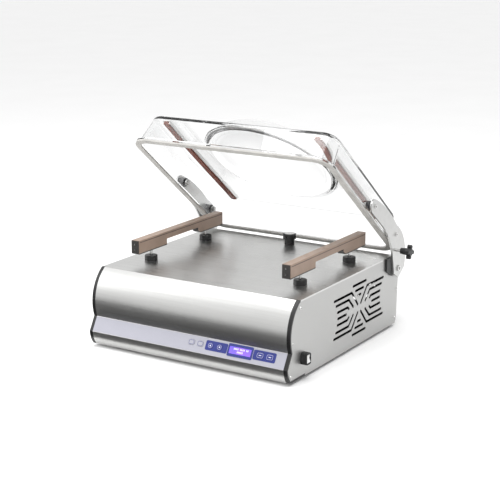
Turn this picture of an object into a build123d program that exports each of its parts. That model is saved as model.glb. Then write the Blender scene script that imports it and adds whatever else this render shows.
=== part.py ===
from build123d import *
import math
import os

# Countertop vacuum sealer: a sheet-steel body with a steel chamber plate on top, two seal bars on
# pneumatic pistons, and a clear domed lid that swings on two steel arms at the rear.
# Units are millimetres. X is the width, -Y is the front, +Z is up.
# The origin is under the middle of the overall box, on the surface that the feet rest on.

# ---- driving dimensions ----
body_width = 600.0
plate_depth = 508.0  # flat top of the body, front edge to rear edge
body_height = 198.2  # underside of the body to the top of the chamber plate
foot_height = 8.0
front_y = -255.54  # where the front edge of the chamber plate lies
centre_x = -24.35  # where the body's mid-plane lies: the clamp knob stands out on the right only

sheet = 1.5  # body sheet metal
plate_thick = 4.0
trim_width = 10.0
trim_face = 5.0  # how much of a trim shows from the side
front_cut = 30.0  # the front panel and its trims end this far back under the body
gap = 0.3  # clearance between parts that move past each other
running = 0.04  # radial clearance of a pin in its bore

lid_open = 38.4  # degrees between the closed lid and the resting pose
pivot_depth = 522.0
pivot_height = 160.5
rim_level = 38.0  # underside of the lid's rim above the pivot, lid closed
rim_half_width = 299.7
rim_front = 529.0  # distance of the rim's front edge from the pivot
rim_rear = 14.5
rim_seat = 16.0  # width of the rim and its gasket
rim_corner = 50.0
gasket_thick = 4.5
lid_wall = 10.0
flange_thick = 6.0
flange_ledge = 6.5
roof_level = 130.0
roof_half_width = 283.0
roof_front = 508.0
roof_rear = 38.0
roof_corner = 40.0
roof_round = 12.0
dome_middle = 301.0  # distance of the dome's centre from the pivot
dome_half_depth = 181.0
dome_rise = 78.0

arm_inner = body_width / 2 + 6
arm_thick = 5.0
arm_bolts = ((-242.0, 64.0), (-77.7, 64.6))
bolt_r = 3.0
spacer_r = 13.0
pivot_r = 5.0
stud_place = (-61.2, 26.4)
stud_r = 4.0

bar_x = 230.0
bar_front = 56.0
bar_length = 402.0
bar_width = 24.5
bar_low = 229.0
bar_high = 266.0
bar_base = 2.5
bar_skin = 2.0
notch_front = 182.0
notch_rear = 335.0
notch_deep = 16.6
piston_depths = (125.0, 388.0)
collar_r = 17.3
collar_height = 14.0
pin_r = 5.0
cylinder_r = 20.0
cylinder_bore = 15.0
counter_height = 8.0
silicone_proud = 2.5

port_depth = 467.0

strip_low = (-58.7, 36.7)
strip_high = (-37.7, 73.8)
button_travel = 0.8



def depth(d):
    """Y of a point d behind the front edge of the chamber plate."""
    return front_y + d


def height(h):
    """Z of a point h above the underside of the body."""
    return foot_height + h


def yz(d, h):
    return (depth(d), height(h))


def finish(builder, label):
    """Write one node, moved sideways from the body's mid-plane to the overall box's."""
    shape = builder.part.moved(Location((centre_x, 0, 0)))
    shape.label = label
    export_step(shape, f"parts/{label}.step")


def body_profile(inset):
    """Side outline of the body, drawn in by inset."""
    with BuildSketch() as outline:
        with BuildLine():
            ThreePointArc(yz(0, body_height), yz(-44, 116.4), yz(*strip_high))
            Line(yz(*strip_high), yz(*strip_low))
            ThreePointArc(yz(*strip_low), yz(-54.2, 17), yz(-44, 0))
            Polyline(yz(-44, 0), yz(532, 0), yz(539.5, 13), yz(548, 158))
            ThreePointArc(yz(548, 158), yz(536.3, 186.5), yz(plate_depth, body_height))
            Line(yz(plate_depth, body_height), yz(0, body_height))
        make_face()
        if inset > 0:
            offset(amount=-inset, mode=Mode.REPLACE)
    return outline.sketch


def front_band(thick):
    """The strip of the body's outline, thick wide, that runs down the front and under it."""
    with BuildSketch() as band:
        add(body_profile(0.0))
        add(body_profile(thick), mode=Mode.SUBTRACT)
        with Locations(yz(front_cut + 400, body_height / 2)):
            Rectangle(800, 2 * body_height, mode=Mode.SUBTRACT)
        with Locations(yz(thick + 30, body_height)):
            Rectangle(60, 3 * plate_thick, mode=Mode.SUBTRACT)
    return band.sketch


def slot_run(start, end, width):
    """A round-ended slot between two centres, in the current sketch."""
    run = Vector(*end) - Vector(*start)
    middle = (Vector(*start) + Vector(*end)) * 0.5
    with Locations(middle):
        SlotCenterToCenter(run.length, width, rotation=math.degrees(math.atan2(run.Y, run.X)))


os.makedirs("parts", exist_ok=True)
half = body_width / 2
sides = (("left", -1), ("right", 1))

# ---- body shell ----
strip_mid = Vector(0, depth((strip_low[0] + strip_high[0]) / 2), height((strip_low[1] + strip_high[1]) / 2))
strip_rise = math.atan2(strip_high[1] - strip_low[1], strip_high[0] - strip_low[0])
strip = Plane(strip_mid, x_dir=(1, 0, 0), z_dir=(0, -math.sin(strip_rise), math.cos(strip_rise)))
strip_width = math.dist(strip_low, strip_high)

# Buttons: name, place along the strip, size, corner radius
buttons = (
    ("button_program", 16.5, 18.0, 14.0, 5.0),
    ("button_stop", 42.8, 18.0, 14.0, 5.0),
    ("button_up", 73.2, 15.0, 15.0, 7.4),
    ("button_down", 100.0, 15.0, 15.0, 7.4),
    ("button_cursor", 218.0, 20.0, 15.0, 5.0),
    ("button_set", 246.0, 20.0, 15.0, 5.0),
)
button_v = 3.0
display_x = 160.5
display_size = (68.0, 20.0)
window_size = (72.0, 32.0)
keypad_spans = ((58.8, 122.8), (198.2, 262.2))
keypad_height = 25.0
overlay_thick = 0.5


def button_holes(mode, start=-1000.0, end=1000.0):
    """Holes for the buttons that lie between two places along the strip."""
    for _, x, w, h, r in buttons:
        if start < x < end:
            with Locations((x, button_v)):
                RectangleRounded(w + 2 * gap, h + 2 * gap, r, mode=mode)


front_half = half - trim_width
with BuildPart() as front_panel:
    with BuildSketch(Plane.YZ.offset(-front_half)):
        add(front_band(sheet))
    extrude(amount=2 * front_half)
    with BuildSketch(strip):
        button_holes(Mode.ADD)
        with Locations((display_x, button_v)):
            Rectangle(*display_size)
    extrude(amount=5, both=True, mode=Mode.SUBTRACT)
finish(front_panel, "front_panel")

with BuildPart() as edge_trims:
    for side, s in sides:
        with BuildSketch(Plane.YZ.offset(s * front_half)):
            add(front_band(trim_face))
        extrude(amount=s * trim_width)
finish(edge_trims, "edge_trims")

# Chamber plate, with holes for the four piston collars and the suction port
plate_corner = 3.0
plate_seam = 0.2  # gap between the plate and the front panel and trims
port_stem_r = 14.0
with BuildPart() as chamber_plate:
    with BuildSketch(Plane.XY.offset(height(body_height - plate_thick))):
        with Locations((0, depth(plate_depth / 2))):
            RectangleRounded(body_width, plate_depth, plate_corner)
        with Locations((0, depth(0))):
            Rectangle(body_width, 2 * (sheet + plate_seam), mode=Mode.SUBTRACT)
        for s in (-1, 1):
            with Locations((s * half, depth(0))):
                Rectangle(2 * trim_width + 0.2, 2 * (trim_face + plate_seam), mode=Mode.SUBTRACT)
        with Locations((0, depth(port_depth))):
            Circle(port_stem_r, mode=Mode.SUBTRACT)
        for x in (-bar_x, bar_x):
            with Locations(*[(x, depth(d)) for d in piston_depths]):
                Circle(collar_r - 2, mode=Mode.SUBTRACT)
    extrude(amount=plate_thick)
finish(chamber_plate, "chamber_plate")

# Side panels with their butterfly of vent slots, the same on both sides
vent_centre = (315.6, 99.7)
vent_width = 7.0
vent_bars = ((66.0, 36.1), (50.4, 21.7), (35.5, 7.3))
vent_bends = (
    ((-137.4, 50.4), (-43.1, 50.4), (-8.7, 11.2)),
    ((-127.2, 35.5), (-58.7, 35.5), (-34.3, 11.2)),
    ((-119.6, 17.0), (-65.3, 17.0), (-58.0, 11.2)),
)
vent_stub = (-117.3, -73.2)
switch_centre = (17.5, 48.5)
switch_hole = (19.0, 25.0)
panel_screws = (
    (4.0, 178.7, 4.5),
    (-29.9, 96.2, 2.5),
    (-39.6, 14.6, 4.5),
    (537.0, 97.0, 4.5),
    (529.7, 17.3, 4.5),
)
screw_shank = 0.45  # of the head's radius
screw_head = 0.5  # of the head's radius

for side, s in sides:
    with BuildPart() as side_panel:
        with BuildSketch(Plane.YZ.offset(s * half)):
            add(body_profile(0.0))
            add(front_band(trim_face), mode=Mode.SUBTRACT)
            with Locations(yz(plate_depth / 2, body_height)):
                Rectangle(plate_depth + 2 * trim_width, 2 * plate_thick, mode=Mode.SUBTRACT)
        extrude(amount=-s * sheet)
        with BuildSketch(Plane.YZ.offset(s * half)):
            with Locations(yz(*vent_centre)):
                for level, reach in vent_bars:
                    for up in (-1, 1):
                        slot_run((-reach, up * level), (reach, up * level), vent_width)
                for back in (-1, 1):
                    slot_run((back * vent_stub[0], 0), (back * vent_stub[1], 0), vent_width)
                    for up in (-1, 1):
                        for run in vent_bends:
                            bend = [(back * a, up * b) for a, b in run]
                            slot_run(bend[0], bend[1], vent_width)
                            slot_run(bend[1], bend[2], vent_width)
        extrude(amount=-s * sheet, mode=Mode.SUBTRACT)
        with BuildSketch(Plane.YZ.offset(s * half)):
            with Locations(yz(pivot_depth, pivot_height)):
                Circle(pivot_r)
            if s > 0:
                with Locations(yz(*switch_centre)):
                    Rectangle(*switch_hole)
            for d, h, r in panel_screws:
                with Locations(yz(d, h)):
                    Circle(screw_shank * r)
        extrude(amount=-s * sheet, mode=Mode.SUBTRACT)
    finish(side_panel, f"side_panel_{side}")

# Rear panel: a sheet that follows the rear outline, with the fan opening and the power inlet's hole
fan_place = (190.0, 95.0)
fan_size = 120.0
inlet_place = (-215.0, 70.0)
inlet_size = (48.0, 28.0)
rear_start = 500.0
rear_lean = math.atan2(548.0 - 539.5, 158.0 - 13.0)
rear = Plane(
    (0, depth(543.75), height(85.5)),
    x_dir=(-1, 0, 0),
    z_dir=(0, math.cos(rear_lean), -math.sin(rear_lean)),
)
rear_zero = 85.5


def on_rear(place):
    """Local coordinates on the rear plane of a place given by its X and its height."""
    return (-place[0], place[1] - rear_zero)


with BuildPart() as rear_panel:
    with BuildSketch(Plane.YZ.offset(-half + sheet)):
        add(body_profile(0.0))
        add(body_profile(sheet), mode=Mode.SUBTRACT)
        with Locations(yz(plate_depth - 1000, body_height / 2)):
            Rectangle(2000, 2 * body_height, mode=Mode.SUBTRACT)
        with Locations(yz(rear_start, 0)):
            Rectangle(200, 4 * sheet, mode=Mode.SUBTRACT)
    extrude(amount=body_width - 2 * sheet)
    with BuildSketch(rear):
        with Locations(on_rear(fan_place)):
            for ring in (54, 42, 30, 18):
                Circle(ring)
                Circle(ring - 6, mode=Mode.SUBTRACT)
            for turn in (45, 135):
                Rectangle(fan_size, 6, rotation=turn, mode=Mode.SUBTRACT)
        with Locations(on_rear(inlet_place)):
            Rectangle(inlet_size[0] - 8, inlet_size[1] - 4)
    extrude(amount=5, both=True, mode=Mode.SUBTRACT)
finish(rear_panel, "rear_panel")

# Base pan: a shallow tray that closes the underside
pan_thick = 2.0
pan_front = front_cut + 1
pan_rear = 530.0
pan_lip = 12.0
foot_places = ((-240.0, 60.0), (240.0, 60.0), (-240.0, 470.0), (240.0, 470.0))
pan_size = (body_width - 2 * sheet - 1, pan_rear - pan_front)
pan_mid = depth((pan_front + pan_rear) / 2)
with BuildPart() as base_pan:
    with BuildSketch(Plane.XY.offset(height(sheet))):
        with Locations((0, pan_mid)):
            Rectangle(*pan_size)
    extrude(amount=pan_lip)
    with BuildSketch(Plane.XY.offset(height(sheet + pan_thick))):
        with Locations((0, pan_mid)):
            Rectangle(pan_size[0] - 2 * pan_thick, pan_size[1] - 2 * pan_thick)
    extrude(amount=pan_lip, mode=Mode.SUBTRACT)
finish(base_pan, "base_pan")

foot_r = 18.0
foot_taper = 3.0
with BuildPart() as feet:
    with Locations(*[(x, depth(d), 0) for x, d in foot_places]):
        Cone(foot_r - foot_taper, foot_r, height(sheet), align=(Align.CENTER, Align.CENTER, Align.MIN))
finish(feet, "feet")

with BuildPart() as side_screws:
    for side, s in sides:
        for d, h, r in panel_screws:
            with BuildSketch(Plane.YZ.offset(s * half)):
                with Locations(yz(d, h)):
                    Circle(r)
            extrude(amount=s * screw_head * r, taper=20)
            with BuildSketch(Plane.YZ.offset(s * half)):
                with Locations(yz(d, h)):
                    Circle(screw_shank * r)
            extrude(amount=-s * 8)
            with BuildSketch(Plane.YZ.offset(s * (half + screw_head * r))):
                with Locations(yz(d, h)):
                    RegularPolygon(screw_shank * r, 6)
            extrude(amount=-s * 0.7 * screw_head * r, mode=Mode.SUBTRACT)
finish(side_screws, "side_screws")

# ---- power switch on the right side: a housing that stands proud, with a rocker in its face ----
switch_size = (23.0, 30.0)
switch_proud = 18.0
switch_inside = 14.0
rocker_pivot_x = half + 8.0
rocker_pin_r = 2.0
rocker_room = (18.0, 24.0)
rocker_plane = Plane(
    (rocker_pivot_x, depth(switch_centre[0]), height(switch_centre[1])), x_dir=(1, 0, 0), z_dir=(0, -1, 0)
)
with BuildPart() as switch_housing:
    with BuildSketch(Plane.YZ.offset(half)):
        with Locations(yz(*switch_centre)):
            RectangleRounded(*switch_size, 6)
    extrude(amount=switch_proud)
    fillet(switch_housing.faces().sort_by(Axis.X)[-1].edges(), radius=1.5)
    with BuildSketch(Plane.YZ.offset(half - switch_inside)):
        with Locations(yz(*switch_centre)):
            Rectangle(*switch_hole)
    extrude(amount=switch_inside)
    with BuildSketch(Plane.YZ.offset(half - switch_inside + 3)):
        with Locations(yz(*switch_centre)):
            Rectangle(rocker_room[0] - 2, rocker_room[1] - 3)
    extrude(amount=switch_inside + switch_proud, mode=Mode.SUBTRACT)
    with BuildSketch(Plane.YZ.offset(half + 1)):
        with Locations(yz(*switch_centre)):
            RectangleRounded(*rocker_room, 1)
    extrude(amount=switch_proud, mode=Mode.SUBTRACT)
    with BuildSketch(rocker_plane.offset(-(rocker_room[0] / 2 + 1.5))):
        Circle(rocker_pin_r + running)
    extrude(amount=rocker_room[0] + 3, mode=Mode.SUBTRACT)
finish(switch_housing, "switch_housing")

rocker_gap = 0.5
with BuildPart() as switch_rocker:
    with BuildSketch(rocker_plane.offset(-(rocker_room[0] / 2 - rocker_gap))):
        with BuildLine():
            reach = rocker_room[1] / 2 - 2.6
            Polyline(
                (-3, -3), (-3, 3), (2, reach), (8, reach), (6.5, 0), (9.5, -reach), (2, -reach), (-3, -3)
            )
        make_face()
    extrude(amount=rocker_room[0] - 2 * rocker_gap)
    with BuildSketch(rocker_plane.offset(-(rocker_room[0] / 2 + 1))):
        Circle(rocker_pin_r)
    extrude(amount=rocker_room[0] + 2)
finish(switch_rocker, "switch_rocker")

# ---- lid: everything here is drawn in the resting pose, opened about the rear pivots ----
lean = math.radians(lid_open)
pivot = Vector(0, depth(pivot_depth), height(pivot_height))
lid_up = Vector(0, math.sin(lean), math.cos(lean))
lid_back = Vector(0, math.cos(lean), -math.sin(lean))


def lid_level(level):
    """A plane parallel to the lid's rim; its Y runs back past the pivot."""
    return Plane(pivot + lid_up * level, x_dir=(1, 0, 0), z_dir=lid_up)


def lid_side(x):
    """The lid's side view at x: back from the pivot, and up from it."""
    return Plane(pivot + Vector(x, 0, 0), x_dir=lid_back, z_dir=(1, 0, 0))


def rim_outline(half_width, front, rear_edge, corner):
    """Rounded outline of the lid at one level; front and rear_edge are distances from the pivot."""
    with Locations((0, -(front + rear_edge) / 2)):
        RectangleRounded(2 * half_width, front - rear_edge, corner)


flange_level = rim_level + gasket_thick


def dome_section(shrink):
    """Half of the dome's upright section, drawn in by shrink."""
    reach = dome_half_depth - shrink
    foot = roof_level - shrink
    with BuildLine() as section:
        EllipticalCenterArc((-dome_middle, foot), reach, dome_rise, start_angle=0, arc_size=90)
        Polyline(
            (-dome_middle, foot + dome_rise),
            (-dome_middle, foot - roof_round),
            (-dome_middle + reach, foot - roof_round),
            (-dome_middle + reach, foot),
        )
    make_face(section.edges())


lid_axis = Axis(pivot, lid_up)
dome_axis = Axis(pivot - lid_back * dome_middle, lid_up)
wall_foot = rim_half_width - flange_ledge
dome_blend = 12.0


def dome_foot(builder, radius):
    """The circle where the dome of this radius meets the flat roof."""
    circles = builder.edges().filter_by(GeomType.CIRCLE)
    return circles.filter_by(lambda edge: abs(edge.radius - radius) < 0.1).sort_by(lid_axis)[-1]


with BuildPart() as lid_hollow:
    with BuildSketch(lid_level(flange_level)):
        rim_outline(
            rim_half_width - rim_seat, rim_front - rim_seat, rim_rear + rim_seat, rim_corner - rim_seat
        )
    with BuildSketch(lid_level(roof_level - lid_wall)):
        rim_outline(
            roof_half_width - lid_wall, roof_front - lid_wall, roof_rear + lid_wall, roof_corner - lid_wall
        )
    loft()
    fillet(lid_hollow.faces().sort_by(lid_axis)[-1].edges(), radius=roof_round - lid_wall)
    with BuildSketch(lid_side(0)):
        dome_section(lid_wall)
    revolve(axis=dome_axis)
    fillet(dome_foot(lid_hollow, dome_half_depth - lid_wall), radius=dome_blend - 3)

with BuildPart() as lid_dome:
    with BuildSketch(lid_level(flange_level)):
        rim_outline(wall_foot, rim_front - flange_ledge, rim_rear + flange_ledge, rim_corner - flange_ledge)
    with BuildSketch(lid_level(roof_level)):
        rim_outline(roof_half_width, roof_front, roof_rear, roof_corner)
    loft()
    fillet(lid_dome.faces().sort_by(lid_axis)[-1].edges(), radius=roof_round)
    with BuildSketch(lid_side(0)):
        dome_section(0)
    revolve(axis=dome_axis)
    fillet(dome_foot(lid_dome, dome_half_depth), radius=dome_blend)
    with BuildSketch(lid_level(flange_level)):
        rim_outline(rim_half_width, rim_front, rim_rear, rim_corner)
    extrude(amount=flange_thick)
    add(lid_hollow.part, mode=Mode.SUBTRACT)
    with BuildSketch(lid_side(-half)):
        with Locations(*arm_bolts):
            Circle(bolt_r)
    extrude(amount=body_width, mode=Mode.SUBTRACT)
finish(lid_dome, "lid_dome")

with BuildPart() as lid_gasket:
    with BuildSketch(lid_level(rim_level)):
        rim_outline(rim_half_width, rim_front, rim_rear, rim_corner)
        with Locations((0, -(rim_front + rim_rear) / 2)):
            RectangleRounded(
                2 * (rim_half_width - rim_seat),
                rim_front - rim_rear - 2 * rim_seat,
                rim_corner - rim_seat,
                mode=Mode.SUBTRACT,
            )
    extrude(amount=gasket_thick)
finish(lid_gasket, "lid_gasket")

# Lid arms: steel plates that carry the lid from its two bolts down to the pivot
arm_tail = ((32.0, 22.0), (19.6, -19.1), (-12.3, -23.6), (-57.5, 13.9))
arm_waist = (-164.8, 46.0)
arm_chin = (-243.0, 44.0)
arm_brow = (-245.0, 82.5)
arm_back = (-87.8, 88.1)
with BuildPart() as lid_arms:
    for side, s in sides:
        with BuildSketch(lid_side(s * arm_inner)):
            with BuildLine():
                Polyline(*arm_tail)
                ThreePointArc(arm_tail[-1], (-102.1, 35.5), arm_waist)
                Line(arm_waist, arm_chin)
                ThreePointArc(arm_chin, (-262.0, 63.0), arm_brow)
                ThreePointArc(arm_brow, (-160.0, 93.5), arm_back)
                ThreePointArc(arm_back, (-0.5, 66.5), arm_tail[0])
            make_face()
            fillet(vertices().group_by(Axis.Y)[0] + vertices().group_by(Axis.Y)[1], radius=5)
            with Locations((0, 0)):
                Circle(pivot_r + running, mode=Mode.SUBTRACT)
            with Locations(*arm_bolts):
                Circle(bolt_r, mode=Mode.SUBTRACT)
            if s > 0:
                with Locations(stud_place):
                    Circle(stud_r + running, mode=Mode.SUBTRACT)
        extrude(amount=s * arm_thick)
finish(lid_arms, "lid_arms")

# Rubber spacers between the arms and the lid, and the bolts and nuts that clamp them
arm_outer = arm_inner + arm_thick
bolt_head_r = 5.5
bolt_head = 4.0
nut_r = 7.0
with BuildPart() as lid_spacers:
    for side, s in sides:
        with BuildSketch(lid_side(s * arm_inner)):
            with Locations(*arm_bolts):
                Circle(spacer_r)
                Circle(bolt_r, mode=Mode.SUBTRACT)
        extrude(amount=-s * 30)
    add(lid_dome.part, mode=Mode.SUBTRACT)
    add(lid_hollow.part, mode=Mode.SUBTRACT)
finish(lid_spacers, "lid_spacers")

nut_inner = roof_half_width - 13.0
nut_thick = 5.0
with BuildPart() as lid_bolts:
    for side, s in sides:
        with BuildSketch(lid_side(s * nut_inner)):
            with Locations(*arm_bolts):
                Circle(bolt_r)
        extrude(amount=s * (arm_outer - nut_inner))
        with BuildSketch(lid_side(s * arm_outer)):
            with Locations(*arm_bolts):
                Circle(bolt_head_r)
        extrude(amount=s * bolt_head)
        with BuildSketch(lid_side(s * (arm_outer + bolt_head))):
            with Locations(*arm_bolts):
                RegularPolygon(bolt_head_r * 0.5, 6)
        extrude(amount=-s * 2.5, mode=Mode.SUBTRACT)
finish(lid_bolts, "lid_bolts")

with BuildPart() as lid_nuts:
    for side, s in sides:
        with BuildSketch(lid_side(s * (nut_inner + 1.5))):
            with Locations(*arm_bolts):
                RegularPolygon(nut_r, 6)
                Circle(bolt_r, mode=Mode.SUBTRACT)
        extrude(amount=s * nut_thick)
        with BuildSketch(lid_side(s * (nut_inner + 1.5 + nut_thick))):
            with Locations(*arm_bolts):
                Circle(nut_r + 2)
                Circle(bolt_r, mode=Mode.SUBTRACT)
        extrude(amount=s * 8.5)
    add(lid_dome.part, mode=Mode.SUBTRACT)
finish(lid_nuts, "lid_nuts")

# Counter bars under the lid's roof: an aluminium channel with a silicone strip in its mouth
counter_level = roof_level - lid_wall
silicone_width = 16.0
counter_rear = 65.0  # distance from the pivot
counter_front = 490.0
counter_length = counter_front - counter_rear
counter_mid = -(counter_front + counter_rear) / 2
with BuildPart() as counter_profiles:
    with BuildSketch(lid_level(counter_level)):
        with Locations((-bar_x, counter_mid), (bar_x, counter_mid)):
            Rectangle(bar_width, counter_length)
    extrude(amount=-counter_height)
    with BuildSketch(lid_level(counter_level - counter_height)):
        with Locations((-bar_x, counter_mid), (bar_x, counter_mid)):
            Rectangle(silicone_width, counter_length)
    extrude(amount=counter_height - 2, mode=Mode.SUBTRACT)
finish(counter_profiles, "counter_profiles")

with BuildPart() as counter_silicones:
    with BuildSketch(lid_level(counter_level - 2)):
        with Locations((-bar_x, counter_mid), (bar_x, counter_mid)):
            Rectangle(silicone_width, counter_length)
    extrude(amount=-(counter_height - 2 + silicone_proud))
finish(counter_silicones, "counter_silicones")

# Clamp knob on the right arm: a star grip on a threaded stud
knob_start = arm_outer + 22.0
hub_length = 19.0
hub_r = 10.0
star_reach = 19.5
star_thick = 12.0
lobe_r = 5.5
with BuildPart() as knob_stud:
    with BuildSketch(lid_side(arm_inner + 0.3)):
        with Locations(stud_place):
            Circle(stud_r)
    extrude(amount=knob_start - arm_inner - 0.3 + 8)
finish(knob_stud, "knob_stud")

with BuildPart() as star_knob:
    with BuildSketch(lid_side(knob_start)):
        with Locations(stud_place):
            Circle(hub_r * 0.8)
    with BuildSketch(lid_side(knob_start + hub_length)):
        with Locations(stud_place):
            Circle(hub_r)
    loft()
    with BuildSketch(lid_side(knob_start + hub_length)):
        with Locations(stud_place):
            Circle(hub_r + 1)
            with PolarLocations(star_reach - lobe_r, 4, start_angle=45 - lid_open / 2):
                Circle(lobe_r)
            with PolarLocations((star_reach - lobe_r) / 2, 4, start_angle=45 - lid_open / 2):
                Rectangle(star_reach - lobe_r, 2 * lobe_r - 2)
    extrude(amount=star_thick)
    fillet(star_knob.faces().sort_by(Axis.X)[-1].edges(), radius=2)
    with BuildSketch(lid_side(knob_start)):
        with Locations(stud_place):
            Circle(stud_r)
    extrude(amount=8, mode=Mode.SUBTRACT)
finish(star_knob, "star_knob")

# ---- hinge mounts on the body ----
block_face = arm_inner - gap - half
bracket_thick = 4.0
bracket_outer = half - sheet
head_gap = 0.3
block_outline = ((464, 197), (464, 163), (497, 143.4), (510, 150), (543, 150), (543, 166), (514, 197))
bracket_outline = ((465, 190), (505, 190), (528, 177), (534, 150), (530, 110), (465, 110))
with BuildPart() as hinge_blocks:
    for side, s in sides:
        with BuildSketch(Plane.YZ.offset(s * half)):
            with BuildLine():
                Polyline(*[yz(*place) for place in block_outline], close=True)
            make_face()
            with Locations(yz(pivot_depth, pivot_height)):
                Circle(pivot_r, mode=Mode.SUBTRACT)
        extrude(amount=s * block_face)
finish(hinge_blocks, "hinge_blocks")

with BuildPart() as hinge_brackets:
    for side, s in sides:
        with BuildSketch(Plane.YZ.offset(s * bracket_outer)):
            with BuildLine():
                Polyline(*[yz(*place) for place in bracket_outline], close=True)
            make_face()
            with Locations(yz(pivot_depth, pivot_height)):
                Circle(pivot_r, mode=Mode.SUBTRACT)
        extrude(amount=-s * bracket_thick)
finish(hinge_brackets, "hinge_brackets")

with BuildPart() as pivot_bolts:
    for side, s in sides:
        with BuildSketch(Plane.YZ.offset(s * (bracket_outer - bracket_thick - 10))):
            with Locations(yz(pivot_depth, pivot_height)):
                Circle(pivot_r)
        extrude(amount=s * (arm_outer + head_gap - bracket_outer + bracket_thick + 10))
        with BuildSketch(Plane.YZ.offset(s * (arm_outer + head_gap))):
            with Locations(yz(pivot_depth, pivot_height)):
                Circle(8.0)
        extrude(amount=s * 4)
        with BuildSketch(Plane.YZ.offset(s * (arm_outer + head_gap + 4))):
            with Locations(yz(pivot_depth, pivot_height)):
                RegularPolygon(4, 6)
        extrude(amount=-s * 3, mode=Mode.SUBTRACT)
finish(pivot_bolts, "pivot_bolts")

with BuildPart() as pivot_nuts:
    for side, s in sides:
        with BuildSketch(Plane.YZ.offset(s * (bracket_outer - bracket_thick))):
            with Locations(yz(pivot_depth, pivot_height)):
                RegularPolygon(9, 6)
                Circle(pivot_r, mode=Mode.SUBTRACT)
        extrude(amount=-s * 8)
finish(pivot_nuts, "pivot_nuts")

# ---- sealing bars, their pistons and the suction port ----
strip_heater = (3.0, 0.4)
disc_low = 165.0
disc_thick = 10.0
pin_shoulder = body_height + collar_height - 2
neck_r = 2.6


def bar_side(inset):
    """Side view of a seal bar with its notch, drawn in by inset along the sides and top."""
    low = bar_low
    with BuildLine() as line:
        Polyline(
            yz(bar_front, low),
            yz(bar_front, bar_high - inset),
            yz(bar_front + bar_length, bar_high - inset),
            yz(bar_front + bar_length, low),
            yz(notch_rear + 12, low),
            yz(notch_rear, low + notch_deep * 0.6),
            yz(notch_rear, low + notch_deep),
            yz(notch_front, low + notch_deep),
            yz(notch_front, low),
            close=True,
        )
    make_face(line.edges())


for side, s in sides:
    with BuildPart() as bar_core:
        with BuildSketch(Plane.YZ.offset(s * bar_x)):
            bar_side(bar_skin)
        extrude(amount=bar_width / 2, both=True)
        with BuildSketch(Plane.XZ.offset(-depth(bar_front))):
            for edge in (-1, 1):
                skin_x = s * bar_x + edge * (bar_width - bar_skin) / 2
                with Locations((skin_x, height((bar_low + bar_high) / 2 + bar_base))):
                    Rectangle(bar_skin, bar_high - bar_low)
        extrude(amount=-bar_length, mode=Mode.SUBTRACT)
    finish(bar_core, f"bar_core_{side}")

    with BuildPart() as bar_cover:
        with BuildSketch(Plane.YZ.offset(s * bar_x)):
            bar_side(0)
        extrude(amount=bar_width / 2, both=True)
        fillet(bar_cover.edges().filter_by(Axis.Y).group_by(Axis.Z)[-1], radius=1.5)
        add(bar_core.part, mode=Mode.SUBTRACT)
        with BuildSketch(Plane.XY.offset(height(bar_high - bar_skin))):
            with Locations((s * bar_x, depth(bar_front + bar_length / 2))):
                Rectangle(strip_heater[0], bar_length)
        extrude(amount=strip_heater[1], mode=Mode.SUBTRACT)
    finish(bar_cover, f"bar_cover_{side}")

    with BuildPart() as heating_strip:
        with BuildSketch(Plane.XY.offset(height(bar_high - bar_skin))):
            with Locations((s * bar_x, depth(bar_front + bar_length / 2))):
                Rectangle(strip_heater[0], bar_length)
        extrude(amount=strip_heater[1])
    finish(heating_strip, f"heating_strip_{side}")

    with BuildPart() as bar_terminal:
        with BuildSketch(Plane.XZ.offset(-depth(bar_front))):
            with Locations((s * bar_x, height((bar_low + bar_high) / 2))):
                Rectangle(bar_width - 2, bar_high - bar_low - 2)
        extrude(amount=2.5)
        with BuildSketch(Plane.XZ.offset(-depth(bar_front) + 2.5)):
            for up in (-8, 8):
                with Locations((s * bar_x, height((bar_low + bar_high) / 2 + up))):
                    Circle(3.2)
        extrude(amount=1.5)
    finish(bar_terminal, f"bar_terminal_{side}")

    with BuildPart() as piston_pins:
        for d in piston_depths:
            with Locations((s * bar_x, depth(d), height(disc_low))):
                Cylinder(pin_r, pin_shoulder - disc_low, align=(Align.CENTER, Align.CENTER, Align.MIN))
                Cylinder(cylinder_bore - running, disc_thick, align=(Align.CENTER, Align.CENTER, Align.MIN))
                Cylinder(neck_r, bar_low - disc_low, align=(Align.CENTER, Align.CENTER, Align.MIN))
    finish(piston_pins, f"piston_pins_{side}")

with BuildPart() as piston_collars:
    for x in (-bar_x, bar_x):
        for d in piston_depths:
            with Locations((x, depth(d), height(body_height))):
                Cylinder(collar_r, collar_height, align=(Align.CENTER, Align.CENTER, Align.MIN))
    fillet(piston_collars.edges().group_by(Axis.Z)[-1], radius=2)
    for x in (-bar_x, bar_x):
        for d in piston_depths:
            with Locations((x, depth(d), height(body_height - plate_thick))):
                Cylinder(collar_r - 2, plate_thick, align=(Align.CENTER, Align.CENTER, Align.MIN))
                Cylinder(
                    pin_r + running,
                    2 * collar_height + plate_thick,
                    align=(Align.CENTER, Align.CENTER, Align.MIN),
                    mode=Mode.SUBTRACT,
                )
finish(piston_collars, "piston_collars")

cylinder_low = 158.0
with BuildPart() as piston_cylinders:
    for x in (-bar_x, bar_x):
        for d in piston_depths:
            with Locations((x, depth(d), height(cylinder_low))):
                Cylinder(
                    cylinder_r,
                    body_height - plate_thick - cylinder_low,
                    align=(Align.CENTER, Align.CENTER, Align.MIN),
                )
            with Locations((x, depth(d), height(cylinder_low + 4))):
                Cylinder(
                    cylinder_bore, 26, align=(Align.CENTER, Align.CENTER, Align.MIN), mode=Mode.SUBTRACT
                )
                Cylinder(
                    pin_r + running, 60, align=(Align.CENTER, Align.CENTER, Align.MIN), mode=Mode.SUBTRACT
                )
finish(piston_cylinders, "piston_cylinders")

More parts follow.
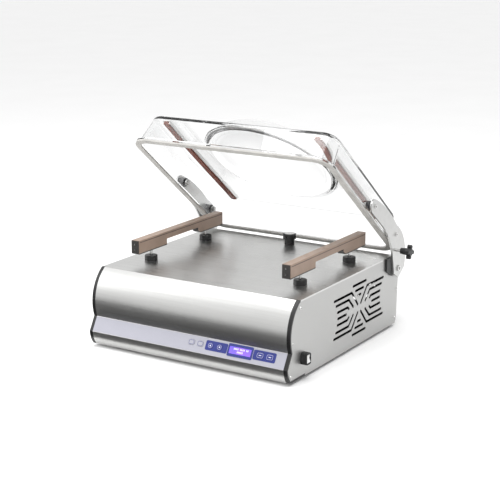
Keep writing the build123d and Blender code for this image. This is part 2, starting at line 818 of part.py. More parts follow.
port_cap_r = 18.3
port_cap_low = 214.4
port_cap_high = 229.6
port_foot = 165.0
with BuildPart() as suction_port:
    with Locations((0, depth(port_depth), height(port_foot))):
        Cylinder(port_stem_r, port_cap_low - port_foot, align=(Align.CENTER, Align.CENTER, Align.MIN))
        Cylinder(
            6, port_cap_low - port_foot - 6, align=(Align.CENTER, Align.CENTER, Align.MIN), mode=Mode.SUBTRACT
        )
    with Locations((0, depth(port_depth), height(body_height - plate_thick - 4))):
        Cylinder(port_stem_r + 6, 4, align=(Align.CENTER, Align.CENTER, Align.MIN))
        Cylinder(6, 4, align=(Align.CENTER, Align.CENTER, Align.MIN), mode=Mode.SUBTRACT)
finish(suction_port, "suction_port")

with BuildPart() as port_cap:
    with Locations((0, depth(port_depth), height(port_cap_low))):
        Cylinder(port_cap_r, port_cap_high - port_cap_low, align=(Align.CENTER, Align.CENTER, Align.MIN))
    fillet(port_cap.edges().group_by(Axis.Z)[-1], radius=2)
    with Locations((0, depth(port_depth), height((port_cap_low + port_cap_high) / 2))):
        Cylinder(2.5, 60, rotation=(90, 0, 0), mode=Mode.SUBTRACT)
        Cylinder(2.5, 60, rotation=(0, 90, 0), mode=Mode.SUBTRACT)
finish(port_cap, "port_cap")

with BuildPart() as port_screen:
    with Locations((0, depth(port_depth), height(port_cap_high))):
        Cylinder(port_cap_r - 3, 1, align=(Align.CENTER, Align.CENTER, Align.MIN))
finish(port_screen, "port_screen")

# ---- control strip: overlay, keypads, window, display, buttons and their board ----
strip_long = 2 * front_half
overlay_size = (strip_long, strip_width - 2.0)
with BuildPart() as control_overlay:
    with BuildSketch(strip):
        Rectangle(*overlay_size)
        with Locations((display_x, button_v)):
            Rectangle(*display_size, mode=Mode.SUBTRACT)
        button_holes(Mode.SUBTRACT)
    extrude(amount=overlay_thick)
finish(control_overlay, "control_overlay")

with BuildPart() as keypads:
    with BuildSketch(strip.offset(overlay_thick)):
        for start, end in keypad_spans:
            with Locations(((start + end) / 2, button_v)):
                RectangleRounded(end - start, keypad_height, 4)
            button_holes(Mode.SUBTRACT, start, end)
    extrude(amount=0.4)
finish(keypads, "keypads")

with BuildPart() as display_window:
    with BuildSketch(strip.offset(overlay_thick)):
        with Locations((display_x, button_v)):
            RectangleRounded(*window_size, 4)
    extrude(amount=1)
finish(display_window, "display_window")

board_depth = 12.5
with BuildPart() as display_module:
    with BuildSketch(strip.offset(-sheet)):
        with Locations((display_x, button_v)):
            Rectangle(76, 34)
    extrude(amount=-(board_depth - sheet))
finish(display_module, "display_module")

button_proud = 1.8
flange_in = 3.4
stem_in = 7.2
for name, x, w, h, r in buttons:
    with BuildPart() as button:
        with BuildSketch(strip.offset(-flange_in)):
            with Locations((x, button_v)):
                RectangleRounded(w, h, r)
        extrude(amount=flange_in + button_proud)
        fillet(button.faces().sort_by(Axis(strip_mid, strip.z_dir))[-1].edges(), radius=0.8)
        with BuildSketch(strip.offset(-flange_in)):
            with Locations((x, button_v)):
                RectangleRounded(w + 2.4, h + 2.4, r + 1)
        extrude(amount=flange_in - sheet - 0.4)
        with BuildSketch(strip.offset(-stem_in)):
            with Locations((x, button_v)):
                Circle(2.5)
        extrude(amount=stem_in - flange_in)
    finish(button, name)

board_thick = 1.6
tact_high = board_depth - stem_in - button_travel - 0.4
with BuildPart() as control_board:
    with BuildSketch(strip.offset(-board_depth)):
        with Locations((145, button_v)):
            Rectangle(300, 34)
    extrude(amount=-board_thick)
    with BuildSketch(strip.offset(-board_depth)):
        for name, x, w, h, r in buttons:
            with Locations((x, button_v)):
                Rectangle(8, 8)
    extrude(amount=tact_high)
finish(control_board, "control_board")

# ---- inside the body: pump, fan, supply and pipework ----
pump_x = (-170.0, 20.0)
pump_d = (180.0, 320.0)
pump_low = 20.0
pump_high = 150.0
motor_end = 190.0
motor_r = 55.0
motor_place = (250.0, 85.0)
with BuildPart() as vacuum_pump:
    with Locations(((pump_x[0] + pump_x[1]) / 2, depth((pump_d[0] + pump_d[1]) / 2), height(pump_low))):
        Box(
            pump_x[1] - pump_x[0],
            pump_d[1] - pump_d[0],
            pump_high - pump_low,
            align=(Align.CENTER, Align.CENTER, Align.MIN),
        )
    fillet(vacuum_pump.edges().filter_by(Axis.Z), radius=8)
finish(vacuum_pump, "vacuum_pump")

with BuildPart() as pump_motor:
    with BuildSketch(Plane.YZ.offset(pump_x[1])):
        with Locations(yz(*motor_place)):
            Circle(motor_r)
    extrude(amount=motor_end - pump_x[1])
    fillet(pump_motor.edges().sort_by(Axis.X)[-1], radius=6)
finish(pump_motor, "pump_motor")

with BuildPart() as pump_mounts:
    for x in (pump_x[0] + 20, pump_x[1] - 20):
        for d in (pump_d[0] + 20, pump_d[1] - 20):
            with Locations((x, depth(d), height(sheet + pan_thick))):
                Cylinder(12, pump_low - sheet - pan_thick, align=(Align.CENTER, Align.CENTER, Align.MIN))
finish(pump_mounts, "pump_mounts")

with BuildPart() as transformer:
    with Locations((190, depth(95), height(sheet + pan_thick))):
        Box(80, 66, 60, align=(Align.CENTER, Align.CENTER, Align.MIN))
        Box(56, 90, 40, align=(Align.CENTER, Align.CENTER, Align.MIN))
finish(transformer, "transformer")

hose_r = 12.0
hose_start = pump_d[1]
with BuildPart() as suction_hose:
    with BuildLine():
        FilletPolyline(
            (-60, *yz(hose_start, 110)),
            (-60, *yz(hose_start + 80, 110)),
            (0, *yz(port_depth, 110)),
            (0, *yz(port_depth, port_foot)),
            radius=28,
        )
    with BuildSketch(Plane((-60, *yz(hose_start, 110)), x_dir=(1, 0, 0), z_dir=(0, 1, 0))):
        Circle(hose_r)
    sweep()
finish(suction_hose, "suction_hose")

fan_deep = 25.0
fan_bore = 57.0
fan_back = sheet
fan_local = on_rear(fan_place)
with BuildPart() as fan_housing:
    with BuildSketch(rear.offset(-fan_back)):
        with Locations(fan_local):
            RectangleRounded(fan_size, fan_size, 6)
            Circle(fan_bore, mode=Mode.SUBTRACT)
    extrude(amount=-fan_deep)
    with BuildSketch(rear.offset(-fan_back - fan_deep)):
        with Locations(fan_local):
            Circle(20)
            Rectangle(2 * fan_bore + 2, 6)
            Rectangle(6, 2 * fan_bore + 2)
    extrude(amount=3)
    with BuildSketch(rear.offset(-fan_back - fan_deep)):
        with Locations(fan_local):
            Circle(2)
    extrude(amount=fan_deep - 4)
finish(fan_housing, "fan_housing")

blade_count = 7
with BuildPart() as fan_rotor:
    with BuildSketch(rear.offset(-fan_back - 2)):
        with Locations(fan_local):
            Circle(20)
    extrude(amount=-(fan_deep - 6))
    with BuildSketch(rear.offset(-fan_back - 5)):
        with Locations(fan_local):
            with PolarLocations(36, blade_count):
                Rectangle(36, 20)
    extrude(amount=-2.5)
    with BuildSketch(rear.offset(-fan_back - fan_deep)):
        with Locations(fan_local):
            Circle(2 + running)
    extrude(amount=fan_deep - 4 + gap, mode=Mode.SUBTRACT)
finish(fan_rotor, "fan_rotor")

inlet_local = on_rear(inlet_place)
with BuildPart() as power_inlet:
    with BuildSketch(rear):
        with Locations(inlet_local):
            RectangleRounded(inlet_size[0] + 2, inlet_size[1] + 4, 3)
    extrude(amount=3)
    with BuildSketch(rear):
        with Locations(inlet_local):
            Rectangle(inlet_size[0] - 8, inlet_size[1] - 4)
    extrude(amount=-26)
    with BuildSketch(rear.offset(3)):
        with Locations(inlet_local):
            RectangleRounded(27, 19, 3)
    extrude(amount=-20, mode=Mode.SUBTRACT)
    with BuildSketch(rear.offset(-17)):
        with Locations(inlet_local):
            with Locations((0, 3), (-7, -3), (7, -3)):
                Rectangle(2, 4)
    extrude(amount=14)
finish(power_inlet, "power_inlet")
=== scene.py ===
import math

import bmesh
import bpy
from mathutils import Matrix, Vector


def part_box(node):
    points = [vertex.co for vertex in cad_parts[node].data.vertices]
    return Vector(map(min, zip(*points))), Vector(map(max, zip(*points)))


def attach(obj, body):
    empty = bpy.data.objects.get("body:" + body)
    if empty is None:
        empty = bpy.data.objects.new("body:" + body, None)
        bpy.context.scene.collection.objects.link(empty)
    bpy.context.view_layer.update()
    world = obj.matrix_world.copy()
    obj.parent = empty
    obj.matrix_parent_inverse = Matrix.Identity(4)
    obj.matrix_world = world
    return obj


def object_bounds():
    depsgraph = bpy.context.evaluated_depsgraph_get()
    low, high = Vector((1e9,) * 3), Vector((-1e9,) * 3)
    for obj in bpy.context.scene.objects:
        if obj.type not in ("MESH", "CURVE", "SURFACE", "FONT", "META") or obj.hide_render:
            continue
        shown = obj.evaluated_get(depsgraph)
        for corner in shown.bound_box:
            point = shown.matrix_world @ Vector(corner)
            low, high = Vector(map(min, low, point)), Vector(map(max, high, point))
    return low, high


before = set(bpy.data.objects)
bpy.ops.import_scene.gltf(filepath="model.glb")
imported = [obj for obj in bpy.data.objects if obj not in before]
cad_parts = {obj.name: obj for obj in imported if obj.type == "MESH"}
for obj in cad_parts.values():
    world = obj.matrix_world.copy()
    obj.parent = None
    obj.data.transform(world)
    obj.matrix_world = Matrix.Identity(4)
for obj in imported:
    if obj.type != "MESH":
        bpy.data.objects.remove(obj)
cad_low, cad_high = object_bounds()

MM = 0.001
BODY_DEPTH = 508.0  # from the top of the front panel to the rear edge of the chamber plate
BODY_HEIGHT = 198.2  # from the underside of the body to the top of the chamber plate

# ---- places, read from the frame ----
plate_low, plate_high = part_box("chamber_plate")
MIDDLE_X = (plate_low.x + plate_high.x) / 2
FRONT_Y = plate_high.y - BODY_DEPTH * MM
UNDERSIDE_Z = plate_high.z - BODY_HEIGHT * MM


def at(x, d, h):
    """A point x mm right of the middle, d mm behind the body's top front edge, h mm above its underside."""
    return Vector((MIDDLE_X + x * MM, FRONT_Y + d * MM, UNDERSIDE_Z + h * MM))


# ---- materials ----
class Paint:
    """A node material: a Principled shader and small helpers that feed it."""

    def __init__(self, name, rough=0.5, metal=0.0, **sockets):
        self.material = bpy.data.materials.new(name)
        self.material.use_nodes = True
        self.tree = self.material.node_tree
        self.shader = self.tree.nodes["Principled BSDF"]
        self.shader.inputs["Roughness"].default_value = rough
        self.shader.inputs["Metallic"].default_value = metal
        for socket, value in sockets.items():
            self.shader.inputs[socket.replace("_", " ")].default_value = value

    def node(self, kind, **settings):
        made = self.tree.nodes.new(kind)
        for key, value in settings.items():
            setattr(made, key, value)
        return made

    def link(self, source, target):
        self.tree.links.new(source, target)

    def coordinates(self, scale=(1, 1, 1)):
        place = self.node("ShaderNodeTexCoord")
        mapping = self.node("ShaderNodeMapping")
        mapping.inputs["Scale"].default_value = scale
        self.link(place.outputs["Object"], mapping.inputs["Vector"])
        return mapping.outputs["Vector"]

    def noise(self, size, scale=(1, 1, 1), detail=4.0, rough=0.55):
        made = self.node("ShaderNodeTexNoise")
        made.inputs["Scale"].default_value = size
        made.inputs["Detail"].default_value = detail
        made.inputs["Roughness"].default_value = rough
        self.link(self.coordinates(scale), made.inputs["Vector"])
        return made.outputs["Fac"]

    def ramp(self, source, stops):
        made = self.node("ShaderNodeValToRGB")
        elements = made.color_ramp.elements
        while len(elements) < len(stops):
            elements.new(0.5)
        for element, (position, colour) in zip(elements, stops):
            element.position = position
            element.color = (*colour, 1.0) if len(colour) == 3 else colour
        self.link(source, made.inputs["Fac"])
        return made.outputs["Color"]

    def span(self, source, low, high, start=0.0, end=1.0):
        made = self.node("ShaderNodeMapRange")
        made.inputs["From Min"].default_value = start
        made.inputs["From Max"].default_value = end
        made.inputs["To Min"].default_value = low
        made.inputs["To Max"].default_value = high
        self.link(source, made.inputs["Value"])
        return made.outputs["Result"]

    def math(self, operation, first, second):
        made = self.node("ShaderNodeMath", operation=operation)
        for socket, value in zip(made.inputs, (first, second)):
            if isinstance(value, (int, float)):
                socket.default_value = value
            else:
                self.link(value, socket)
        return made.outputs["Value"]

    def bump(self, source, strength, distance=0.0002):
        made = self.node("ShaderNodeBump")
        made.inputs["Strength"].default_value = strength
        made.inputs["Distance"].default_value = distance
        self.link(source, made.inputs["Height"])
        self.link(made.outputs["Normal"], self.shader.inputs["Normal"])

    def colour(self, source):
        self.link(source, self.shader.inputs["Base Color"])

    def rough(self, source):
        self.link(source, self.shader.inputs["Roughness"])


def brushed(name, tone, rough, grain, spread=0.06, bump=0.15, tint=(1.0, 1.0, 0.985)):
    """Brushed metal; grain scales the noise along X, Y and Z, and its small one is the way of the brush."""
    paint = Paint(name, metal=1.0)
    fine = paint.noise(60, grain, 6.0, 0.7)
    broad = paint.noise(9, (1, 1, 1), 3.0)
    low, high = tone - spread, tone + spread
    streaks = paint.math("ADD", paint.math("MULTIPLY", fine, 0.75), paint.math("MULTIPLY", broad, 0.25))
    paint.colour(
        paint.ramp(streaks, ((0.3, [low * t for t in tint]), (0.7, [high * t for t in tint])))
    )
    paint.rough(paint.span(fine, rough - 0.05, rough + 0.06, 0.3, 0.7))
    paint.bump(fine, bump)
    return paint.material


def moulded(name, colour, rough, grain=900, spread=0.15, bump=0.12, **sockets):
    """Moulded plastic or rubber with a fine grain and faint changes of tone."""
    paint = Paint(name, **sockets)
    fine = paint.noise(grain, detail=3.0)
    broad = paint.noise(25, detail=3.0)
    dark = [c * (1 - spread) for c in colour]
    light = [min(1.0, c * (1 + spread)) for c in colour]
    paint.colour(paint.ramp(broad, ((0.3, dark), (0.7, light))))
    paint.rough(paint.span(fine, rough - 0.06, rough + 0.06, 0.3, 0.7))
    paint.bump(fine, bump, 0.00005)
    return paint.material


plate_steel = brushed("plate_steel", 0.60, 0.30, (0.06, 9.0, 1.0), spread=0.09)
front_steel = brushed("front_steel", 0.62, 0.34, (0.05, 12.0, 12.0), spread=0.05)
# Side and rear panels: the same steel as the front, toned darker as painted shade.
side_steel_painted_shade = brushed("side_steel_painted_shade", 0.46, 0.42, (12.0, 0.06, 10.0), spread=0.02, bump=0.08)
arm_steel = brushed("arm_steel", 0.55, 0.33, (6.0, 1.0, 1.0), spread=0.05)
bright_steel = brushed("bright_steel", 0.62, 0.22, (4.0, 4.0, 4.0), spread=0.05)
zinc_steel = brushed("zinc_steel", 0.5, 0.38, (3.0, 3.0, 3.0), spread=0.06)
profile_metal = brushed("profile_metal", 0.7, 0.3, (8.0, 0.3, 0.3), spread=0.04)
black_plastic = moulded("black_plastic", (0.006, 0.006, 0.0065), 0.42)
# Base pan, pump mounts and hose inside the body: the near-black tone is painted shade for the dark inside.
inside_painted_shade = moulded("inside_painted_shade", (0.004, 0.004, 0.004), 0.8)
black_rubber = moulded("black_rubber", (0.015, 0.015, 0.015), 0.7)
spacer_rubber = moulded("spacer_rubber", (0.05, 0.05, 0.052), 0.5)
gasket_foam = moulded("gasket_foam", (0.42, 0.41, 0.39), 0.75, grain=500, bump=0.3)
silicone = moulded("silicone_brown", (0.19, 0.055, 0.035), 0.5)
bar_skin = moulded("bar_skin", (0.30, 0.215, 0.165), 0.42, grain=1400, spread=0.08)
bar_black = moulded("bar_black", (0.03, 0.028, 0.026), 0.45)
film_grey = moulded("film_grey", (0.36, 0.36, 0.41), 0.35, spread=0.02, bump=0.04)
film_blue = moulded("film_blue", (0.022, 0.032, 0.19), 0.3, spread=0.06, bump=0.03)
white_plastic = moulded("white_plastic", (0.8, 0.8, 0.79), 0.25, spread=0.02, bump=0.03)
board_green = moulded("board_green", (0.02, 0.12, 0.05), 0.5)
# Pump and motor: the near-black tone is painted shade for the dark inside the body, seen through the vents.
cast_metal_painted_shade = brushed("cast_metal_painted_shade", 0.05, 0.75, (1.0, 1.0, 1.0), spread=0.06, bump=0.3)
iron_varnish = moulded("iron_varnish", (0.08, 0.06, 0.05), 0.5)

mark_white = moulded("mark_white", (0.75, 0.75, 0.8), 0.4, spread=0.02, bump=0.02)
ring_lilac = moulded("ring_lilac", (0.42, 0.42, 0.62), 0.35, spread=0.03, bump=0.02)
# Painted shade: the sealing bars' groove is a thin dark strip, not a recess.
groove_painted_shade = moulded("groove_painted_shade", (0.035, 0.025, 0.02), 0.6)


def backlit(name):
    """A violet liquid-crystal display, lit from behind."""
    paint = Paint(name, rough=0.15, Emission_Strength=0.35, Emission_Color=(0.24, 0.13, 0.80, 1.0))
    paint.colour(paint.ramp(paint.noise(40), ((0.35, (0.13, 0.10, 0.68)), (0.65, (0.26, 0.11, 0.62)))))
    return paint.material


def clear(name):
    """Clear acrylic with the faintest changes of tint."""
    paint = Paint(name, rough=0.015, IOR=1.49, Transmission_Weight=1.0)
    paint.colour(paint.ramp(paint.noise(8), ((0.3, (0.975, 0.98, 0.98)), (0.7, (1.0, 1.0, 1.0)))))
    return paint.material


lit_display = backlit("lit_display")
acrylic = clear("clear_acrylic")

FINISHES = {
    "chamber_plate": plate_steel,
    "front_panel": front_steel,
    "side_panel": side_steel_painted_shade,
    "rear_panel": side_steel_painted_shade,
    "base_pan": inside_painted_shade,
    "lid_arm": arm_steel,
    "hinge_bracket": arm_steel,
    "side_screws": bright_steel,
    "lid_bolts": bright_steel,
    "lid_nuts": zinc_steel,
    "pivot": bright_steel,
    "knob_stud": bright_steel,
    "port_screen": bright_steel,
    "piston_pins": bright_steel,
    "heating_strip": bright_steel,
    "edge_trim": black_plastic,
    "hinge_block": black_plastic,
    "piston_collars": black_plastic,
    "piston_cylinders": profile_metal,
    "star_knob": black_plastic,
    "switch_housing": black_plastic,
    "switch_rocker": white_plastic,
    "port_cap": black_plastic,
    "suction_port": black_plastic,
    "fan": black_plastic,
    "power_inlet": black_plastic,
    "feet": black_rubber,
    "lid_spacers": spacer_rubber,
    "pump_mounts": inside_painted_shade,
    "lid_dome": acrylic,
    "lid_gasket": gasket_foam,
    "counter_silicone": silicone,
    "counter_profile": profile_metal,
    "bar_core": bar_black,
    "bar_terminal": bar_black,
    "bar_cover": bar_skin,
    "control_overlay": film_grey,
    "keypad": film_blue,
    "display_window": film_blue,
    "button_program": film_grey,
    "button_stop": film_grey,
    "button": film_blue,
    "display_module": board_green,
    "control_board": board_green,
    "vacuum_pump": cast_metal_painted_shade,
    "pump_motor": cast_metal_painted_shade,
    "transformer": iron_varnish,
    "suction_hose": inside_painted_shade,
}


def finish_of(name):
    """The finish whose key is the longest start of a node's name."""
    keys = [key for key in FINISHES if name.startswith(key)]
    return FINISHES[max(keys, key=len)]


for name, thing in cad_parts.items():
    thing.data.materials.clear()
    thing.data.materials.append(finish_of(name))

# ---- pieces in mesh code ----
def add_piece(name, form, material, body):
    """Turn a bmesh into a piece that rides on a body and takes the given finish."""
    bmesh.ops.recalc_face_normals(form, faces=form.faces)
    data = bpy.data.meshes.new(name)
    form.to_mesh(data)
    form.free()
    data.materials.append(material)
    piece = bpy.data.objects.new(name, data)
    bpy.context.scene.collection.objects.link(piece)
    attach(piece, body)


def bridge(form, one, two):
    """A band of faces between two loops of the same number of vertices."""
    count = len(one)
    for i in range(count):
        form.faces.new((one[i], one[(i + 1) % count], two[(i + 1) % count], two[i]))


def rounded(width, height, radius, steps=6):
    """The points of a rounded rectangle about the origin."""
    points = []
    for turn, (sx, sy) in enumerate(((1, 1), (-1, 1), (-1, -1), (1, -1))):
        for step in range(steps + 1):
            angle = math.radians(90 * turn + 90 * step / steps)
            x = sx * (width / 2 - radius) + radius * math.cos(angle)
            y = sy * (height / 2 - radius) + radius * math.sin(angle)
            points.append((x, y))
    return points


def tube(form, points, radius, sides=12):
    """A round wire through a list of points, closed at both ends."""
    loops = []
    for i, point in enumerate(points):
        ahead = points[min(i + 1, len(points) - 1)] - points[max(i - 1, 0)]
        side = ahead.cross(Vector((1, 0, 0))).normalized()
        up = ahead.cross(side).normalized()
        loop = []
        for k in range(sides):
            angle = math.tau * k / sides
            loop.append(
                form.verts.new(point + side * (radius * math.cos(angle)) + up * (radius * math.sin(angle)))
            )
        loops.append(loop)
    for one, two in zip(loops, loops[1:]):
        bridge(form, one, two)
    form.faces.new(loops[0][::-1])
    form.faces.new(loops[-1])


# ---- the control strip: a sloped plane with its own directions ----
STRIP_LOW = (-58.7, 36.7)
STRIP_HIGH = (-37.7, 73.8)
STRIP_MIDDLE = at(0, (STRIP_LOW[0] + STRIP_HIGH[0]) / 2, (STRIP_LOW[1] + STRIP_HIGH[1]) / 2)
STRIP_UP = Vector((0, STRIP_HIGH[0] - STRIP_LOW[0], STRIP_HIGH[1] - STRIP_LOW[1])).normalized()
STRIP_OUT = Vector((0, -STRIP_UP.z, STRIP_UP.y))
BUTTON_V = 3.0  # the middle line of the keys, above the middle of the strip
CAP_TOP = 1.8  # how far the caps and the window stand out from the strip
WINDOW_TOP = 1.5
SUNK = 0.02  # how deep a mark starts in what it lies on


def on_strip(u, v, out):
    """A point u mm right of the middle, v mm up the strip and out mm proud of it."""
    return STRIP_MIDDLE + Vector((u * MM, 0, 0)) + STRIP_UP * (v * MM) + STRIP_OUT * (out * MM)


def raised(form, outline, u, v, base, top, edge=0.03):
    """A thin plate on the strip with a small chamfer round its top."""
    middle_u = sum(p[0] for p in outline) / len(outline)
    middle_v = sum(p[1] for p in outline) / len(outline)
    size = max(math.dist(p, (middle_u, middle_v)) for p in outline)
    rings = []
    for out, share in ((base, 1.0), (top - edge / 2, 1.0), (top, 1 - edge / size)):
        loop = []
        for p in outline:
            place_u = u + middle_u + (p[0] - middle_u) * share
            place_v = v + middle_v + (p[1] - middle_v) * share
            loop.append(form.verts.new(on_strip(place_u, place_v, out)))
        rings.append(loop)
    for low, high in zip(rings, rings[1:]):
        bridge(form, low, high)
    form.faces.new(rings[0][::-1])
    form.faces.new(rings[-1])


def ring(form, outer, inner, u, v, base, top):
    """A flat frame on the strip between two outlines of the same number of points."""
    loops = []
    for outline, out in ((outer, base), (outer, top), (inner, top), (inner, base)):
        loops.append([form.verts.new(on_strip(u + p[0], v + p[1], out)) for p in outline])
    for one, two in zip(loops, loops[1:] + loops[:1]):
        bridge(form, one, two)


RING_INSET = 1.4
RING_LINE = 0.9
RING_PROUD = 0.06
MARK_PROUD = 0.08
UP_ARROW = ((-2.6, -1.8), (2.6, -1.8), (0, 2.6))
DOWN_ARROW = [(a, -b) for a, b in UP_ARROW]
DASH = ((-3.6, -0.8), (3.6, -0.8), (3.6, 0.8), (-3.6, 0.8))
# Name, place along the strip, width, height, corner radius and mark
KEYS = (
    ("button_program", 16.5, 18.0, 14.0, 5.0, None),
    ("button_stop", 42.8, 18.0, 14.0, 5.0, None),
    ("button_up", 73.2, 15.0, 15.0, 7.4, UP_ARROW),
    ("button_down", 100.0, 15.0, 15.0, 7.4, DOWN_ARROW),
    ("button_cursor", 218.0, 20.0, 15.0, 5.0, DASH),
    ("button_set", 246.0, 20.0, 15.0, 5.0, DASH),
)


def mark_key(key, u, width, height, radius, mark):
    """The printed ring on a key's cap, and the mark inside it."""
    form = bmesh.new()
    outer = rounded(width - 2 * RING_INSET, height - 2 * RING_INSET, radius - RING_INSET)
    lost = RING_INSET + RING_LINE
    inner = rounded(width - 2 * lost, height - 2 * lost, radius - lost)
    ring(form, outer, inner, u, BUTTON_V, CAP_TOP - SUNK, CAP_TOP + RING_PROUD)
    add_piece(key + "_ring", form, ring_lilac if mark else film_blue, key + "_cap")
    if mark:
        form = bmesh.new()
        raised(form, mark, u, BUTTON_V, CAP_TOP - SUNK, CAP_TOP + MARK_PROUD)
        add_piece(key + "_mark", form, mark_white, key + "_cap")


for key in KEYS:
    mark_key(*key)

DISPLAY_U = 160.5
SCREEN_SIZE = (62.0, 18.0)
SCREEN_PROUD = 0.05


def make_screen():
    """The lit field of the display, on the window."""
    form = bmesh.new()
    outline = rounded(*SCREEN_SIZE, 1.5)
    raised(form, outline, DISPLAY_U, BUTTON_V, WINDOW_TOP - SUNK, WINDOW_TOP + SCREEN_PROUD)
    add_piece("display_screen", form, lit_display, "body")


BLOCK = 2.1  # width of one character block
BLOCK_PITCH = 3.6
BLOCKS = 15
# Each line's height above the display's middle, and the places in it that are blank
BLOCK_LINES = (
    (4.0, (0, 1, 6, 11, 14)),
    (-3.4, (0, 1, 2, 3, 4, 10, 11, 12, 13, 14)),
)


def make_blocks():
    """Plain blocks on the display, in place of text."""
    form = bmesh.new()
    outline = rounded(BLOCK, 2.2 * BLOCK, 0.4, 3)
    for line_v, blank in BLOCK_LINES:
        for cell in range(BLOCKS):
            if cell not in blank:
                u = DISPLAY_U + (cell - BLOCKS // 2) * BLOCK_PITCH
                raised(form, outline, u, BUTTON_V + line_v, WINDOW_TOP + 0.04, WINDOW_TOP + 0.1)
    add_piece("display_blocks", form, mark_white, "body")


make_screen()
make_blocks()

# ---- sealing bars: a dark strip of painted shade for the groove along each side, wire clips to the pistons, studs in the end ----
GROOVE_DOWN = 5.5  # below the top of the bar's cover
GROOVE_END = 3.0
GROOVE_PROUD = 0.12
# The groove's section: along the height, and how far out as a share of GROOVE_PROUD
GROOVE_PROFILE = ((-0.9, -0.2), (-0.6, 1.0), (0.6, 1.0), (0.9, -0.2))


def make_groove(side, face, x, way):
    """A dark strip of painted shade along one side of a bar, standing in for a groove; way is 1 where that
    side faces right.
    """
    low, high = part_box("bar_cover_" + side)
    form = bmesh.new()
    z = high.z - GROOVE_DOWN * MM
    loops = []
    for y in (low.y + GROOVE_END * MM, high.y - GROOVE_END * MM):
        loop = []
        for rise, out in GROOVE_PROFILE:
            loop.append(form.verts.new(Vector((x + way * GROOVE_PROUD * MM * out, y, z + rise * MM))))
        loops.append(loop)
    bridge(form, loops[0], loops[1])
    form.faces.new(loops[0][::-1])
    form.faces.new(loops[1])
    add_piece("bar_groove_" + face + "_" + side, form, groove_painted_shade, "seal_bar_" + side)


for side, outward in (("left", -1), ("right", 1)):
    cover_low, cover_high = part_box("bar_cover_" + side)
    outer_x, inner_x = (cover_high.x, cover_low.x) if outward > 0 else (cover_low.x, cover_high.x)
    make_groove(side, "outer", outer_x, outward)
    make_groove(side, "inner", inner_x, -outward)

COLLAR_R = 17.3
CLIP_WIRE_R = 0.9
# A clip's leg: how far it stands from the pin, and above the collar
CLIP_FOOT = (3.6, 1.2)
CLIP_BEND = (4.0, 3.5)
CLIP_HEAD = 8.5
STUD_PROUD = 0.35
STUDS = ((0.30, 1.6), (0.72, 2.0))  # share of the end's height, and radius
collars_low, collars_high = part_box("piston_collars")


def make_clips(side, x):
    """Bent wire legs between each piston and its bar."""
    cover_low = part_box("bar_cover_" + side)[0]
    form = bmesh.new()
    for y in (collars_low.y + COLLAR_R * MM, collars_high.y - COLLAR_R * MM):
        for way in (-1, 1):
            foot = Vector((x, y + way * CLIP_FOOT[0] * MM, collars_high.z + CLIP_FOOT[1] * MM))
            bend = Vector((x, y + way * CLIP_BEND[0] * MM, collars_high.z + CLIP_BEND[1] * MM))
            head = Vector((x, y + way * CLIP_HEAD * MM, cover_low.z + 0.3 * MM))
            tube(form, [foot, bend, bend.lerp(head, 0.5), head], CLIP_WIRE_R * MM)
    add_piece("bar_clips_" + side, form, bright_steel, "seal_bar_" + side)


def make_studs(side, x):
    """Two bright studs in the bar's front end."""
    end_low, end_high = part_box("bar_terminal_" + side)
    form = bmesh.new()
    for share, radius in STUDS:
        front = Vector((x, end_low.y - STUD_PROUD * MM, end_low.z + (end_high.z - end_low.z) * share))
        places = [front + Vector((0, back * MM, 0)) for back in (0, 0.2, 0.6)]
        tube(form, places, radius * MM, 20)
    add_piece("terminal_studs_" + side, form, bright_steel, "seal_bar_" + side)


for side, x in (("left", collars_low.x + COLLAR_R * MM), ("right", collars_high.x - COLLAR_R * MM)):
    make_clips(side, x)
    make_studs(side, x)

# ---- suction port: the bright disc on its cap ----
DISC_PROFILE = ((11.0, 0.35), (12.2, 0.15), (12.6, -0.05))  # radius, and height over the cap
DISC_TURNS = 48


def make_port_disc():
    cap_low, cap_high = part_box("port_cap")
    middle = (cap_low + cap_high) / 2
    form = bmesh.new()
    loops = []
    for radius, rise in DISC_PROFILE:
        loop = []
        for k in range(DISC_TURNS):
            angle = math.tau * k / DISC_TURNS
            x = middle.x + radius * MM * math.cos(angle)
            y = middle.y + radius * MM * math.sin(angle)
            loop.append(form.verts.new(Vector((x, y, cap_high.z + rise * MM))))
        loops.append(loop)
    for one, two in zip(loops, loops[1:]):
        bridge(form, one, two)
    form.faces.new(loops[0])
    form.faces.new(loops[-1][::-1])
    add_piece("port_top_disc", form, bright_steel, "body")


make_port_disc()

# ---- floor, light and camera ----
CAMERA_AZIMUTH = math.radians(31.82)
CAMERA_ELEVATION = math.radians(14.49)
CAMERA_DISTANCE = 3.28
camera_target = at(159.4, 0, 305.4)
towards_camera = Vector(
    (
        math.sin(CAMERA_AZIMUTH) * math.cos(CAMERA_ELEVATION),
        -math.cos(CAMERA_AZIMUTH) * math.cos(CAMERA_ELEVATION),
        math.sin(CAMERA_ELEVATION),
    )
)
camera = bpy.data.objects.new("camera", bpy.data.cameras.new("camera"))
bpy.context.scene.collection.objects.link(camera)
camera.location = camera_target + towards_camera * CAMERA_DISTANCE
camera.rotation_mode = "QUATERNION"
camera.rotation_quaternion = (-towards_camera).to_track_quat("-Z", "Y")
camera.data.sensor_width = 36.0
camera.data.lens = 96.8
camera.data.clip_start = 0.05
camera.data.clip_end = 100
bpy.context.scene.camera = camera



def greyed(name, rough, low, high):
    """A matt stage surface whose grey drifts between two levels."""
    paint = Paint(name, rough=rough)
    paint.colour(paint.ramp(paint.noise(3), ((0.3, (low, low, low)), (0.7, (high, high, high)))))
    return paint.material


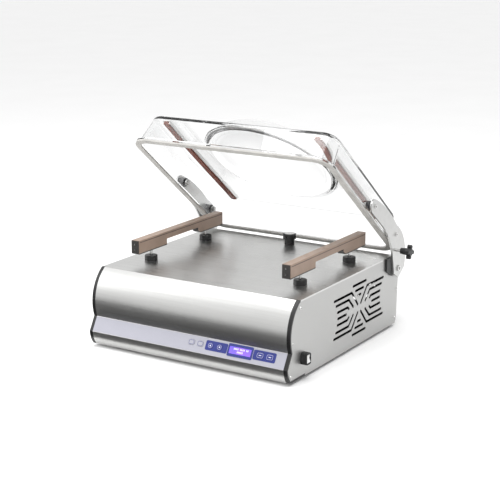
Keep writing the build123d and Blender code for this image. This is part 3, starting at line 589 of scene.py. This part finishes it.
floor_mesh = bmesh.new()
bmesh.ops.create_grid(floor_mesh, x_segments=2, y_segments=2, size=30)
floor_data = bpy.data.meshes.new("floor")
floor_mesh.to_mesh(floor_data)
floor_mesh.free()
floor = bpy.data.objects.new("floor", floor_data)
bpy.context.scene.collection.objects.link(floor)
floor.location.z = cad_low.z
floor_data.materials.append(greyed("pale_floor", 0.9, 0.93, 0.95))

world = bpy.data.worlds.new("studio")
bpy.context.scene.world = world
world.use_nodes = True
world.node_tree.nodes["Background"].inputs["Color"].default_value = (1.0, 1.0, 1.0, 1.0)
world.node_tree.nodes["Background"].inputs["Strength"].default_value = 0.95
bpy.context.scene.view_settings.view_transform = "Standard"


def softbox(name, place, aim, size, power):
    """An area light at place that points at aim."""
    data = bpy.data.lights.new(name, "AREA")
    data.shape = "RECTANGLE"
    data.size, data.size_y = size
    data.energy = power
    light = bpy.data.objects.new(name, data)
    bpy.context.scene.collection.objects.link(light)
    light.location = place
    light.rotation_mode = "QUATERNION"
    light.rotation_quaternion = (Vector(aim) - Vector(place)).to_track_quat("-Z", "Y")


CARD_X = (-2.6, 0.3)
CARD_Y = (-1.5, -0.325)
CARD_UP = 0.002  # above the floor


def dark_card(name):
    """A dark card on the floor that only reflections see, so that the front shades off towards its foot."""
    (x0, x1), (y0, y1) = CARD_X, CARD_Y
    form = bmesh.new()
    corners = [Vector((x, y, cad_low.z + CARD_UP)) for x, y in ((x0, y0), (x1, y0), (x1, y1), (x0, y1))]
    form.faces.new([form.verts.new(corner) for corner in corners])
    data = bpy.data.meshes.new(name)
    form.to_mesh(data)
    form.free()
    card = bpy.data.objects.new(name, data)
    bpy.context.scene.collection.objects.link(card)
    card.visible_camera = False
    card.visible_diffuse = False
    card.visible_shadow = False
    card.visible_transmission = False
    data.materials.append(greyed(name + "_black", 1.0, 0.02, 0.04))


dark_card("card_front")
softbox("overhead", (0.0, -0.6, 2.6), (0, 0, 0.2), (2.4, 1.8), 55)
softbox("left_fill", (-2.4, -1.2, 1.4), (0, 0, 0.2), (1.4, 1.4), 25)
